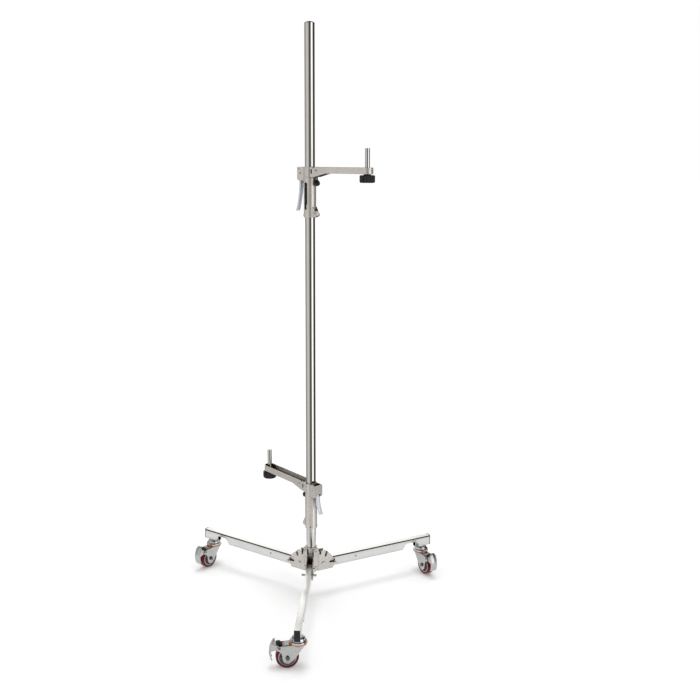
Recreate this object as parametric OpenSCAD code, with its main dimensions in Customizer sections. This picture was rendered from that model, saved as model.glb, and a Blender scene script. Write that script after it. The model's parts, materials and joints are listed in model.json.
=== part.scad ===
// Roller stand for lights: a tall column on three folding legs with braked casters,
// and two arms that slide and turn on the column.
// Millimetres. The origin is on the floor, on the column's axis, with +Z up.

/* [Column] */
// Height of the column tube's upper edge above the floor
column_top = 2047; // [1800:1:2200]
// Outer diameter of the column tube
column_d = 35; // [34:0.5:36]
// Wall of the column tube
column_wall = 2; // [1.5:0.25:3]
// Height of the plug's round head above the tube
plug_head_h = 5; // [3:0.5:8]
// Length of the plug inside the tube
plug_depth = 22; // [12:1:40]

/* [Hub] */
// Wall of the tube that holds the column
hub_wall = 3.5; // [3:0.25:4]
// Height of the hub tube's lower edge above the floor
hub_bottom = 97; // [90:1:100]
// Height of the hub tube's upper edge above the floor
hub_top = 192; // [190:1:200]
// Height of the raised rim on top of the hub
hub_rim_h = 3.5; // [2:0.5:4]
// How far the rim stands out from the hub
hub_rim_out = 1.4; // [0.5:0.1:2]
// Thickness of the brackets' sheet
sheet = 2.5; // [2:0.25:3]
// Outer radius of the cheeks about the leg's pivot
cheek_r = 42; // [40:0.5:44]
// Radius of the stop lobe behind the storage notch
lobe_r = 48.5; // [47:0.5:50]
// Depth of the cheeks below the pivot
cheek_drop = 26; // [24:0.5:28]
// Rounding of the cheeks' lower outer corner
cheek_corner = 8; // [4:0.5:12]
// Width of the relief notch in the cheeks' top edge
relief_w = 7; // [5:0.5:8]
// Depth of the relief notch
relief_depth = 13; // [8:0.5:16]
// Diameter of the pivot bolts' shanks
pivot_d = 8; // [6:0.5:10]
// Diameter of the pivot bolts' heads
pivot_head_d = 14; // [12:0.5:16]
// Height of the pivot bolts' heads
pivot_head_h = 4; // [3:0.25:5]
// Height of the flanges' upper edge
flange_top = 188; // [180:1:188]
// Height of the flanges' lower edge
flange_bottom = 103; // [98:1:108]
// Rounding of the flanges' upper corner
flange_corner = 12; // [6:1:16]
// Diameter of the flange screws' heads
flange_head_d = 9; // [8:0.5:11]
// Diameter of the flange screws' shanks
flange_screw_d = 5; // [4:0.5:6]

/* [Legs] */
// Direction of the front leg, counted from +X
front_leg_azimuth = -93.4; // [-100:0.2:-80]
// Distance of the leg's pivot from the column's axis
pivot_u = 44; // [43:0.5:46]
// Height of the legs' centre line above the floor
leg_z = 120.6; // [119:0.2:123]
// Width of the leg tubes
leg_w = 20; // [18:0.5:22]
// Height of the leg tubes
leg_h = 37.5; // [36:0.5:38]
// Wall of the leg tubes
leg_wall = 2; // [1.5:0.25:2.5]
// Distance of the casters' swivel axes from the column's axis
caster_u = 474; // [460:1:500]
// Length of the leg beyond the swivel axis, without its end cap
leg_overhang = 34.5; // [32:0.5:42]
// Thickness of the end caps
end_cap_t = 3; // [2:0.5:5]
// Angle at which the leg is stored
fold_angle = 72; // [68:1:74]
// Diameter of the lock pins
pin_d = 7; // [6:0.5:8]
// Diameter of the lock pins' thicker ends
pin_end_d = 8.5; // [8:0.5:10]
// Length of each thicker end
pin_end_l = 8; // [6:0.5:10]
// Overall length of the lock pins
pin_l = 54; // [50:1:58]
// Distance of the locked pin from the pivot
pin_seat = 28.5; // [27:0.5:32]
// Height of the opening at the slot's outer end
slot_mouth_h = 15; // [12:0.5:18]
// Length of the cut-out under the leg, along its top
cutout_l = 52; // [40:1:56]
// Height of the wall left above the cut-out
cutout_roof = 15.5; // [12:0.5:18]
// Diameter of the small hole in the leg's sides
side_hole_d = 5.5; // [4:0.5:7]
// Distance of the small hole from the column's axis
side_hole_u = 181; // [170:1:200]

/* [Casters] */
// Direction in which the front caster trails, counted from +X
front_trail = 188; // [0:1:359]
// Direction in which the right caster trails, counted from +X
right_trail = 300; // [0:1:359]
// Direction in which the left caster trails, counted from +X
left_trail = 232; // [0:1:359]
// Diameter of the wheels
wheel_d = 75; // [73:0.5:76]
// Width of the tread
tread_w = 26; // [22:0.5:27]
// Diameter of the wheel core
core_d = 60; // [54:0.5:64]
// Width of the wheel's rim
rim_w = 23; // [20:0.5:25]
// Length of the wheel's hub
wheel_hub_l = 29; // [28:0.5:30]
// Distance of the axle behind the swivel axis
trail = 36; // [34:0.5:38]
// Diameter of the axle bolts
axle_d = 8; // [6:0.5:10]
// Thickness of the forks' sheet
fork_sheet = 2.5; // [2:0.25:3]
// Diameter of the forks' round top
fork_top_d = 54; // [50:0.5:56]
// Diameter of the chrome head's lower edge
head_d = 56; // [52:0.5:58]
// Diameter of the chrome head's top
head_top_d = 44; // [40:0.5:46]
// Diameter of the king pin
king_d = 16; // [12:0.5:18]
// Outer diameter of the dust ring
ring_d = 58; // [56:0.5:60]
// Thickness of the dust ring
ring_t = 3; // [2:0.25:3.5]
// Diameter of the stem in the leg
stem_d = 10; // [8:0.5:12]
// Width of the brake pedal
pedal_w = 28; // [24:0.5:28]
// Thickness of the brake pedal's sheet
pedal_sheet = 2; // [1.5:0.25:2.5]
// Diameter of the brake pedal's pivot pin
pedal_pin_d = 5; // [4:0.5:6]

/* [Slide arms] */
// Height of the upper arm's top edge above the floor
upper_arm_top = 1572; // [1450:1:1750]
// Height of the lower arm's top edge above the floor
lower_arm_top = 438; // [420:1:500]
// Direction of the upper arm, counted from +X
upper_arm_azimuth = -40; // [-60:1:-20]
// Direction of the lower arm, counted from +X
lower_arm_azimuth = 131; // [125:1:131]
// Wall of the plastic guide bushes
bush_wall = 2; // [1.5:0.25:2.5]
// Wall of the sleeves
sleeve_wall = 2.2; // [2:0.1:3]
// Length of the sleeves
sleeve_l = 172; // [165:1:185]
// Reach of the arms from the column's axis to the spigot
arm_reach = 250; // [220:1:250]
// Width of the arms
arm_w = 39; // [36:0.5:40]
// Height of the arms
arm_h = 21; // [19:0.5:23]
// Thickness of the arms' sheet
arm_sheet = 2.5; // [2:0.25:3]
// Depth of the gussets below the arm
gusset_drop = 13; // [10:0.5:15]
// Distance from the column's axis at which the gussets end
gusset_end = 83; // [70:1:95]
// Distance of the head box's back from the column's axis
box_back = 44; // [42:0.5:46]
// Width of the head box
box_w = 34; // [32:0.5:38]
// Height of the head box
box_h = 46; // [44:0.5:48]
// Rounding of the head box's lower corner
box_corner = 8; // [5:0.5:10]
// Width of the release levers
lever_w = 15; // [13:0.5:16]
// Depth of the release levers' section
lever_depth = 8; // [7:0.5:8.5]
// Distance of the upper lever's tip below the arm's top
upper_lever_tip = 150; // [130:1:155]
// Distance of the lower lever's tip below the arm's top
lower_lever_tip = 104; // [95:1:130]
// Distance of the levers' tips from the column's axis
lever_out = 61; // [58:0.5:64]
// Diameter of the rollers
roller_d = 18; // [17:0.5:18]
// Width of the rollers
roller_w = 14; // [12:0.5:15]
// Diameter of the ball knobs
ball_d = 20; // [18:0.5:22]
// Distance of the ball knobs from the column's axis
ball_u = 33; // [32:0.5:35]
// Distance of the ball knobs' centres below the arm's top
ball_drop = 55; // [53:0.5:58]
// Diameter of the ball knobs' stems
ball_stem_d = 5.5; // [5:0.25:6]
// Diameter of the spigots
spigot_d = 16; // [14:0.5:17]
// Height of the spigots above the arm's top
spigot_h = 62; // [50:1:80]
// Diameter of the clamp knobs
knob_d = 51; // [46:0.5:54]
// Height of the clamp knobs
knob_h = 25; // [22:0.5:28]
// Diameter of the studs that the clamp knobs turn on
stud_d = 10; // [8:0.5:12]

/* [Hidden] */
LEGS = ["front", "right", "left"];
ARMS = ["upper", "lower"];
LEG_NODES = ["leg_bracket_", "leg_tube_", "leg_end_cap_", "lock_pin_", "caster_head_", "dust_ring_",
    "fork_", "axle_", "wheel_core_", "tread_", "brake_pedal_", "brake_pad_"];
ARM_NODES = ["_sleeve", "_guide_bush", "_arm", "_arm_pins", "_roller", "_release_lever",
    "_brake_shoe", "_ball_knob", "_spigot", "_clamp_knob"];
$fn = 64;

// Clearances: between a pin and its bore, between moving faces, and past a cut's faces
running = 0.05;
clear = 0.3;
past = 1;

// Colours
steel = [0.72, 0.71, 0.68];
satin = [0.66, 0.63, 0.58];
chrome = [0.80, 0.81, 0.84];
black = [0.07, 0.07, 0.08];
nylon = [0.80, 0.79, 0.76];
orange = [0.86, 0.42, 0.10];
dark_red = [0.40, 0.10, 0.09];
grey = [0.48, 0.48, 0.50];

// Column and hub
column_r = column_d / 2;
hub_r = column_r + running + hub_wall;
flange_azimuth = 60;
flange_root = -16;
flange_w = 33;
flange_chamfer = 10;
flange_screw_t = -4;
flange_screw_inset = 12;
flange_head_h = 3;
relief_root = 10;

// Legs
leg_azimuth = [for (i = [0 : 2]) front_leg_azimuth + 120 * i];
cheek_in = leg_w / 2 + clear;
leg_inner = pivot_u - leg_h / 2;
leg_end = caster_u + leg_overhang;
leg_bottom = leg_z - leg_h / 2;
pin_out = cheek_r + pin_d / 2 + clear;
pin_u = pivot_u + pin_out;
slot_r = pin_d / 2 + clear;
cutout_end = caster_u - 29;
cutout_top = leg_bottom + leg_h - cutout_roof;
cap_plug_l = 12;

// Casters
trail_azimuth = [front_trail, right_trail, left_trail];
wheel_r = wheel_d / 2;
core_r = core_d / 2;
fork_in = wheel_hub_l / 2 + 2 * clear;
fork_out = fork_in + fork_sheet;
fork_top = wheel_d + 5;
fork_under = fork_top - 3;
ring_bottom = fork_top + 2 * clear;
head_bottom = ring_bottom + ring_t;
king_head_d = king_d + 7;
king_head_h = 4;
cheek_end = 26;
pedal_x = 62;
pedal_z = fork_top - 8;
pedal_eye_r = pedal_pin_d / 2 + 2.2;
pin_head_out = 1.5;
pin_head_h = 1.5;

// Slide arms
arm_top = [upper_arm_top, lower_arm_top];
arm_azimuth = [upper_arm_azimuth, lower_arm_azimuth];
lever_tip = [upper_lever_tip, lower_lever_tip];
bush_in = column_r + running;
bush_out = bush_in + bush_wall;
sleeve_in = bush_out + running;
sleeve_r = sleeve_in + sleeve_wall;
bush_top = 50;
bush_bottom = 128;
root_x = 14;
root_in = sleeve_r - 2.2;
root_t = 2.4;
slot_top = 52;
slot_bottom = sleeve_l - 27;
ear_top = sleeve_l - 37;
ear_reach = 9;
shoe_z = 22;
shoe_h = 30;
shoe_w = 16;
shoe_t = 4.6;
box_front = 4;
box_screw_d = 4;
lever_x = -30;
lever_z = -shoe_z;
lever_pin_d = 5;
lever_boss_r = 6;
lever_root_x = -36;
lever_root_z = -28;
lever_slot_w = lever_w + 2;
lever_sheet = 2;
roller_z = 14 - sleeve_l;
roller_u = column_r + clear + roller_d / 2;
roller_pin_d = 5;
ear_in = roller_w / 2 + 2 * clear;
arm_bolt_x = 44;
arm_bolt_z = -13;
arm_bolt_d = 5;
arm_bolt_head_d = 9;
arm_bolt_head_h = 2.5;
spigot_flange_h = 4;
knob_neck_r = 12;
knob_neck_h = 3;
flutes = 20;
flute_r = 2.2;
knob_floor = 4;

// Lays a flat outline, drawn in the X-Z plane, out as a plate whose lower Y face is at y
module plate(y, thickness) {
    translate([0, y + thickness, 0]) rotate([90, 0, 0]) linear_extrude(thickness) children();
}

// The same plate on both sides of the X-Z plane, from the distance y outwards
module plate_pair(y, thickness) {
    plate(y, thickness) children();
    plate(-y - thickness, thickness) children();
}

// A round bar along Y, centred on the X-Z plane
module cross_bar(x, z, d, length) {
    translate([x, length / 2, z]) rotate([90, 0, 0]) cylinder(d = d, h = length);
}

// A domed head that stands on the X-Y plane
module dome_head(d, h) {
    r = (d * d / 4 + h * h) / (2 * h);
    rotate_extrude() intersection() {
        translate([0, h - r]) circle(r);
        square([d / 2, h]);
    }
}

// A domed head at the end of a cross bar, on the side that the sign gives
module cross_head(x, y, z, d, h) {
    translate([x, y, z]) rotate([y > 0 ? -90 : 90, 0, 0]) dome_head(d, h);
}

// A block between two corners
module block(low, high) {
    translate(low) cube(high - low);
}

module at_leg(i) {
    rotate([0, 0, leg_azimuth[i]]) children();
}

// At a caster's swivel axis on the floor, with +X along its trail
module at_caster(i) {
    at_leg(i) translate([caster_u, 0, 0]) rotate([0, 0, trail_azimuth[i] - leg_azimuth[i]]) children();
}

// On the column's axis at the arm's top edge, with +X along the arm
module at_arm(k) {
    translate([0, 0, arm_top[k]]) rotate([0, 0, arm_azimuth[k]]) children();
}

module column_tube() {
    color(steel) difference() {
        translate([0, 0, hub_bottom]) cylinder(r = column_r, h = column_top - hub_bottom);
        translate([0, 0, hub_bottom - past])
            cylinder(r = column_r - column_wall, h = column_top - hub_bottom + 2 * past);
    }
}

module column_top_plug() {
    color(black) translate([0, 0, column_top]) {
        dome_head(column_d, plug_head_h);
        translate([0, 0, -plug_depth]) cylinder(r = column_r - column_wall - running, h = plug_depth);
    }
}

// At the flange screws in a leg's frame, with +Z outwards at the hub tube's face
module at_flange_screws() {
    for (z = [flange_bottom + flange_screw_inset, flange_top - flange_screw_inset])
        rotate([0, 0, flange_azimuth]) translate([hub_r, flange_screw_t, z])
            rotate([0, 90, 0]) children();
}

module hub_core() {
    color(satin) difference() {
        union() {
            translate([0, 0, hub_bottom]) cylinder(r = hub_r, h = hub_top - hub_bottom);
            translate([0, 0, hub_top - hub_rim_h]) cylinder(r = hub_r + hub_rim_out, h = hub_rim_h);
        }
        translate([0, 0, hub_bottom - past])
            cylinder(r = column_r + running, h = hub_top - hub_bottom + 2 * past);
        for (i = [0 : 2]) at_leg(i) at_flange_screws() translate([0, 0, -hub_wall - past])
            cylinder(d = flange_screw_d + 2 * running, h = hub_wall + 2 * past);
    }
}

// The notch that the lock pin drops into, along +X from the leg's pivot
module pin_notch() {
    translate([pin_seat, 0]) circle(slot_r);
    translate([pin_seat, -slot_r]) square([lobe_r, 2 * slot_r]);
}

// Outline of a cheek about the leg's pivot
module cheek_outline() {
    root = hub_r - pivot_u;
    relief_x = root + relief_root;
    difference() {
        union() {
            translate([root, -cheek_drop]) square([cheek_r - root - cheek_corner, cheek_drop + past]);
            translate([root, cheek_corner - cheek_drop])
                square([cheek_r - root, cheek_drop - cheek_corner]);
            translate([cheek_r - cheek_corner, cheek_corner - cheek_drop]) circle(cheek_corner);
            intersection() {
                circle(cheek_r);
                translate([root, 0]) square([cheek_r - root, cheek_r]);
            }
            intersection() {
                circle(lobe_r);
                polygon([[0, 0], 2 * lobe_r * [cos(fold_angle), sin(fold_angle)],
                    [root, 2 * lobe_r], [root, 0]]);
            }
            translate([root, 0]) square([relief_w, lobe_r]);
        }
        circle(pivot_d / 2 + running);
        pin_notch();
        rotate(fold_angle) pin_notch();
        translate([relief_x, lobe_r - relief_depth + relief_w / 2]) circle(d = relief_w);
        translate([relief_x - relief_w / 2, lobe_r - relief_depth + relief_w / 2])
            square([relief_w, relief_depth]);
    }
}

// Outline of the side flange: its root at the left, the free edge at the right
module flange_outline() {
    h = flange_top - flange_bottom;
    difference() {
        union() {
            square([flange_w - flange_corner, h]);
            square([flange_w, h - flange_corner]);
            translate([flange_w - flange_corner, h - flange_corner]) circle(flange_corner);
        }
        translate([flange_w, 0]) rotate(45) square(flange_chamfer * sqrt(2), center = true);
    }
}

module leg_bracket(i) {
    neighbour = 120;
    color(satin) at_leg(i) difference() {
        union() {
            translate([pivot_u, 0, leg_z]) plate_pair(cheek_in, sheet) cheek_outline();
            block([hub_r, -cheek_in - sheet, leg_z - cheek_drop],
                [hub_r + sheet, cheek_in + sheet, leg_z + lobe_r]);
            rotate([0, 0, flange_azimuth]) translate([hub_r, flange_root, flange_bottom])
                rotate([90, 0, 90]) linear_extrude(sheet) flange_outline();
        }
        translate([0, 0, hub_bottom - past]) cylinder(r = hub_r, h = hub_top);
        // Clear of the next bracket's root
        rotate([0, 0, neighbour]) block([0, -cheek_in - sheet - clear, 0], [cheek_r, cheek_in, hub_top]);
        at_flange_screws() translate([0, 0, -past])
            cylinder(d = flange_screw_d + 2 * running, h = sheet + 2 * past);
    }
}

module hub_bolts() {
    shank = 2 * (cheek_in + sheet);
    color(chrome) for (i = [0 : 2]) {
        at_leg(i) {
            cross_bar(pivot_u, leg_z, pivot_d, shank);
            for (side = [-1, 1])
                cross_head(pivot_u, side * shank / 2, leg_z, pivot_head_d, pivot_head_h);
        }
        at_leg(i) at_flange_screws() {
            translate([0, 0, sheet]) dome_head(flange_head_d, flange_head_h);
            translate([0, 0, running - hub_wall])
                cylinder(d = flange_screw_d, h = hub_wall + sheet - running);
        }
    }
}

module leg_tube(i) {
    inner_h = leg_h - 2 * leg_wall;
    cutout_in = cutout_end - cutout_l;
    slant_foot = 7;
    slant_top = 6;
    corner = [6, 5];
    chamfer = 4;
    color(steel) at_leg(i) difference() {
        block([leg_inner, -leg_w / 2, leg_bottom], [leg_end, leg_w / 2, leg_bottom + leg_h]);
        block([leg_inner - past, leg_wall - leg_w / 2, leg_bottom + leg_wall],
            [leg_end + past, leg_w / 2 - leg_wall, leg_bottom + leg_wall + inner_h]);
        // The upper inner corner, rounded about the pivot
        plate(-leg_w / 2 - past, leg_w + 2 * past) difference() {
            translate([leg_inner - past, leg_z]) square([leg_h / 2 + past, leg_h / 2 + past]);
            translate([pivot_u, leg_z]) circle(leg_h / 2);
        }
        cross_bar(pivot_u, leg_z, pivot_d + 2 * running, leg_w + 2 * past);
        // The slot of the lock pin, with its taller mouth
        plate(-leg_w / 2 - past, leg_w + 2 * past) {
            translate([pivot_u + pin_seat, leg_z]) circle(slot_r);
            translate([pivot_u + pin_seat, leg_z - slot_r]) square([pin_out - pin_seat, 2 * slot_r]);
            for (z = [-1, 1]) translate([pin_u, leg_z + z * (slot_mouth_h / 2 - slot_r)]) circle(slot_r);
            translate([pin_u - slot_r, leg_z - slot_mouth_h / 2 + slot_r])
                square([2 * slot_r, slot_mouth_h - 2 * slot_r]);
        }
        // The cut-out under the leg, slanted on its inner side
        plate(-leg_w / 2 - past, leg_w + 2 * past) polygon([
            [cutout_in - slant_foot, leg_bottom - past],
            [cutout_in + slant_top, cutout_top - corner[1]],
            [cutout_in + slant_top + corner[0], cutout_top],
            [cutout_end - chamfer, cutout_top],
            [cutout_end, cutout_top - chamfer],
            [cutout_end, leg_bottom - past]]);
        cross_bar(side_hole_u, leg_z, side_hole_d, leg_w + 2 * past);
        translate([caster_u, 0, leg_bottom - past])
            cylinder(d = stem_d + 2 * running, h = leg_wall + 2 * past);
    }
}

module leg_end_cap(i) {
    plug_w = leg_w - 2 * leg_wall - 2 * running;
    plug_h = leg_h - 2 * leg_wall - 2 * running;
    color(black) at_leg(i) {
        block([leg_end, -leg_w / 2, leg_bottom], [leg_end + end_cap_t, leg_w / 2, leg_bottom + leg_h]);
        block([leg_end - cap_plug_l, -plug_w / 2, leg_z - plug_h / 2],
            [leg_end, plug_w / 2, leg_z + plug_h / 2]);
    }
}

module lock_pin(i) {
    color(satin) at_leg(i) {
        cross_bar(pin_u, leg_z, pin_d, pin_l);
        for (side = [-1, 1])
            translate([0, side * (pin_l - pin_end_l) / 2, 0])
                cross_bar(pin_u, leg_z, pin_end_d, pin_end_l);
    }
}

// Head of a caster: the dome, its stem and nut in the leg, and the king pin that holds the fork
module caster_head(i) {
    waist_z = head_bottom + (leg_bottom - head_bottom) * 0.55;
    skirt_h = 1.5;
    slope_h = 4;
    slope_w = 3;
    shoulder = [[0.8, 2.4], [3, 0.8], [6, 0]];
    hollow_h = 6;
    nut_h = 8;
    stem_end = 3;
    nut_d = stem_d + 5.5;
    color(chrome) at_caster(i) {
        rotate_extrude() difference() {
            polygon([
                [0, head_bottom], [head_d / 2, head_bottom], [head_d / 2, head_bottom + skirt_h],
                [head_d / 2 - slope_w, head_bottom + slope_h], [head_top_d / 2, waist_z],
                for (p = shoulder) [head_top_d / 2 - p[0], leg_bottom - p[1]], [0, leg_bottom]]);
            // The hollow round the king pin
            translate([king_d / 2 + slope_w, head_bottom - past])
                square([head_top_d / 2 - king_d / 2 - 2 * slope_w, hollow_h + past]);
        }
        translate([0, 0, fork_under - clear - king_head_h]) {
            cylinder(d = king_head_d, h = king_head_h);
            cylinder(d = king_d, h = head_bottom - fork_under + clear + king_head_h);
        }
        translate([0, 0, leg_bottom]) cylinder(d = stem_d, h = leg_wall + nut_h + stem_end);
        translate([0, 0, leg_bottom + leg_wall]) difference() {
            cylinder(d = nut_d, h = nut_h, $fn = 6);
            translate([0, 0, -past]) cylinder(d = stem_d + 2 * running, h = nut_h + 2 * past);
        }
    }
}

module dust_ring(i) {
    color(orange) at_caster(i) translate([0, 0, ring_bottom]) difference() {
        cylinder(d = ring_d, h = ring_t);
        translate([0, 0, -past]) cylinder(d = head_top_d - 8, h = ring_t + 2 * past);
    }
}

// Outline of a fork cheek, with the axle at (trail, wheel_r)
module fork_outline() {
    end_r = 15;
    end_z = wheel_r - 5;
    front_x = 10 - fork_top_d / 2;
    front_h = 8;
    front_angle = 215;
    back_angle = -10;
    waist = [trail + end_r + 2, wheel_r + 16];
    ear = [8, 8];
    difference() {
        union() {
            polygon([
                [front_x, fork_top], [front_x, fork_top - front_h],
                [trail, end_z] + end_r * [cos(front_angle), sin(front_angle)],
                [trail, end_z] + end_r * [cos(back_angle), sin(back_angle)],
                waist, [pedal_x + ear[0], pedal_z - ear[1]],
                [pedal_x + ear[0] - 1, pedal_z + ear[1] - 5], [cheek_end, fork_top]]);
            translate([trail, end_z]) circle(end_r);
        }
        translate([trail, wheel_r]) circle(axle_d / 2 + running);
        translate([pedal_x, pedal_z]) circle(pedal_pin_d / 2 + running);
    }
}

module fork(i) {
    color(steel) at_caster(i) {
        difference() {
            union() {
                translate([0, 0, fork_under]) cylinder(d = fork_top_d, h = fork_top - fork_under);
                plate_pair(fork_in, fork_sheet) fork_outline();
            }
            translate([0, 0, fork_under - past])
                cylinder(d = king_d + 2 * running, h = fork_top - fork_under + 2 * past);
        }
    }
}

module axle(i) {
    head_h = 4;
    nut_h = 5;
    hexagon_d = 1.8 * axle_d;
    thread_end = 1;
    color(grey) at_caster(i) {
        translate([trail, 0, wheel_r]) rotate([90, 0, 0]) {
            translate([0, 0, -fork_out - nut_h - thread_end])
                cylinder(d = axle_d, h = 2 * fork_out + nut_h + thread_end);
            translate([0, 0, fork_out]) cylinder(d = hexagon_d, h = head_h, $fn = 6);
            translate([0, 0, -fork_out - nut_h]) difference() {
                cylinder(d = hexagon_d, h = nut_h, $fn = 6);
                translate([0, 0, -past]) cylinder(d = axle_d + 2 * running, h = nut_h + 2 * past);
            }
        }
        cross_bar(pedal_x, pedal_z, pedal_pin_d, 2 * fork_out);
        for (side = [-1, 1])
            cross_head(pedal_x, side * fork_out, pedal_z, pedal_pin_d + 4, pin_head_h);
    }
}

// Section of a wheel core, with the axle along the section's Y axis
module core_section() {
    web_t = 8;
    rim_t = 4;
    hub_wall_r = 12;
    bore_r = axle_d / 2 + running;
    translate([bore_r, -wheel_hub_l / 2]) square([hub_wall_r - bore_r, wheel_hub_l]);
    translate([bore_r, -web_t / 2]) square([core_r - bore_r, web_t]);
    translate([core_r - rim_t, -rim_w / 2]) square([rim_t, rim_w]);
}

module wheel_core(i) {
    color(grey) at_caster(i) translate([trail, 0, wheel_r]) rotate([90, 0, 0])
        rotate_extrude() core_section();
}

module tread(i) {
    edge = 2.5;
    crown = 0.7;
    half = tread_w / 2;
    color(dark_red) at_caster(i) translate([trail, 0, wheel_r]) rotate([90, 0, 0]) rotate_extrude()
        polygon([[core_r, -half], [wheel_r - edge, -half], [wheel_r - crown, edge - half - crown],
            [wheel_r, 2 * edge - half], [wheel_r, half - 2 * edge], [wheel_r - crown, half - edge + crown],
            [wheel_r - edge, half], [core_r, half]]);
}

// Line of the pedal's plate behind the wheel, from its top to its foot
pedal_start = 56;
pedal_stop = -8;
pedal_head_r = 70;
pedal_foot_r = 50;
function pedal_r(a) = pedal_foot_r
    + (pedal_head_r - pedal_foot_r) * (a - pedal_stop) / (pedal_start - pedal_stop);
function pedal_line(offset) = [for (a = [pedal_start : -8 : pedal_stop])
    [trail, wheel_r] + (pedal_r(a) + offset) * [cos(a), sin(a)]];

module brake_pedal(i) {
    arm_t = 2.5;
    line_in = pedal_line(0);
    line_out = pedal_line(pedal_sheet);
    slot_z = 62;
    slot_h = 22;
    slot_w = 4;
    slot_y = 5;
    root = [1, 5];
    color(steel) at_caster(i) difference() {
        union() {
            plate(-pedal_w / 2, pedal_w)
                polygon(concat(line_in, [for (p = [len(line_out) - 1 : -1 : 0]) line_out[p]]));
            plate_pair(pedal_w / 2 - arm_t, arm_t) union() {
                translate([pedal_x, pedal_z]) circle(pedal_eye_r);
                polygon([[pedal_x - pedal_eye_r, pedal_z], [pedal_x, pedal_z - pedal_eye_r],
                    line_in[4] + [root[0], -root[1]], line_in[3] + [root[0], 0],
                    line_in[1] + [root[0], 0],
                    [pedal_x, pedal_z + pedal_eye_r]]);
            }
        }
        cross_bar(pedal_x, pedal_z, pedal_pin_d + 2 * running, pedal_w + 2 * past);
        for (side = [-1, 1])
            block([trail, side * slot_y - slot_w / 2, slot_z - slot_h / 2],
                [2 * trail + wheel_r, side * slot_y + slot_w / 2, slot_z + slot_h / 2]);
    }
}

module brake_pad(i) {
    half = pedal_w / 2 - 3;
    top = pedal_z + 15;
    groove_w = 2;
    groove_depth = 1;
    color(black) at_caster(i) difference() {
        block([pedal_x - pedal_eye_r, -half, pedal_z + 3], [pedal_x + 9, half, top]);
        for (x = [pedal_x - 1, pedal_x + 4])
            block([x, -half - past, top - groove_depth], [x + groove_w, half + past, top + past]);
    }
}

// Outline of the head box, seen from the side
module box_outline(inset) {
    back = -box_back + inset;
    low = -box_h + inset;
    r = box_corner - inset;
    translate([back, low + r]) square([-back - box_front, -low - r + (inset > 0 ? past : 0)]);
    translate([back + r, low]) square([-back - box_front - r, r + past]);
    translate([back + r, low + r]) circle(r);
}

module sleeve(k) {
    slot_w = 11.5;
    way_out = [-27, -33];
    box_screw = [8 - box_back, -7];
    color(satin) at_arm(k) difference() {
        union() {
            translate([0, 0, -sleeve_l]) cylinder(r = sleeve_r, h = sleeve_l);
            difference() {
                plate(-box_w / 2, box_w) box_outline(0);
                plate(arm_sheet - box_w / 2, box_w - 2 * arm_sheet) box_outline(arm_sheet);
            }
            // Root plates beside the tube, which the arm butts against
            plate_pair(root_in, root_t) square_below(root_x, arm_h + gusset_drop);
            // Ears of the roller
            plate_pair(ear_in, arm_sheet) polygon([
                [sleeve_in, -ear_top], [sleeve_r, -ear_top],
                [roller_u + ear_reach, roller_z - pin_head_out],
                [roller_u + ear_reach, roller_z - ear_reach],
                [sleeve_r, -sleeve_l], [sleeve_in, -sleeve_l]]);
        }
        translate([0, 0, -sleeve_l - past]) cylinder(r = sleeve_in, h = sleeve_l + 2 * past);
        // Slot in the wall, on one side only
        plate(-sleeve_r - past, sleeve_r) {
            translate([-slot_w / 2, slot_w / 2 - slot_bottom])
                square([slot_w, slot_bottom - slot_top - slot_w]);
            for (z = [slot_top + slot_w / 2, slot_bottom - slot_w / 2])
                translate([0, -z]) circle(slot_w / 2);
        }
        // Window of the brake shoe
        block([-sleeve_r - past, -shoe_w / 2 - clear, -shoe_z - shoe_h / 2 - clear],
            [0, shoe_w / 2 + clear, -shoe_z + shoe_h / 2 + clear]);
        // Way out of the lever, through the box's lower corner
        block([-box_back - past, -lever_slot_w / 2, -box_h - past],
            [way_out[0], lever_slot_w / 2, way_out[1]]);
        // Window of the roller
        block([0, -roller_w / 2 - clear, roller_z - roller_d / 2 - past],
            [sleeve_r + past, roller_w / 2 + clear, roller_z + roller_d / 2 + past]);
        cross_bar(lever_x, lever_z, lever_pin_d + 2 * running, box_w + 2 * past);
        cross_bar(roller_u, roller_z, roller_pin_d + 2 * running, 2 * box_w);
        cross_bar(box_screw[0], box_screw[1], box_screw_d, box_w + 2 * past);
    }
}

// A rectangle that hangs from the X axis
module square_below(width, drop) {
    translate([0, -drop]) square([width, drop]);
}

module guide_bush(k) {
    color(black) at_arm(k) translate([0, 0, -bush_bottom]) difference() {
        cylinder(r = bush_out, h = bush_bottom - bush_top);
        translate([0, 0, -past]) cylinder(r = bush_in, h = bush_bottom - bush_top + 2 * past);
    }
}

// Outline of the arm from above, drawn in by the inset
module arm_outline(inset) {
    w = arm_w - 2 * inset;
    translate([0, -w / 2]) square([arm_reach, w]);
    translate([arm_reach, 0]) circle(w / 2);
}

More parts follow.
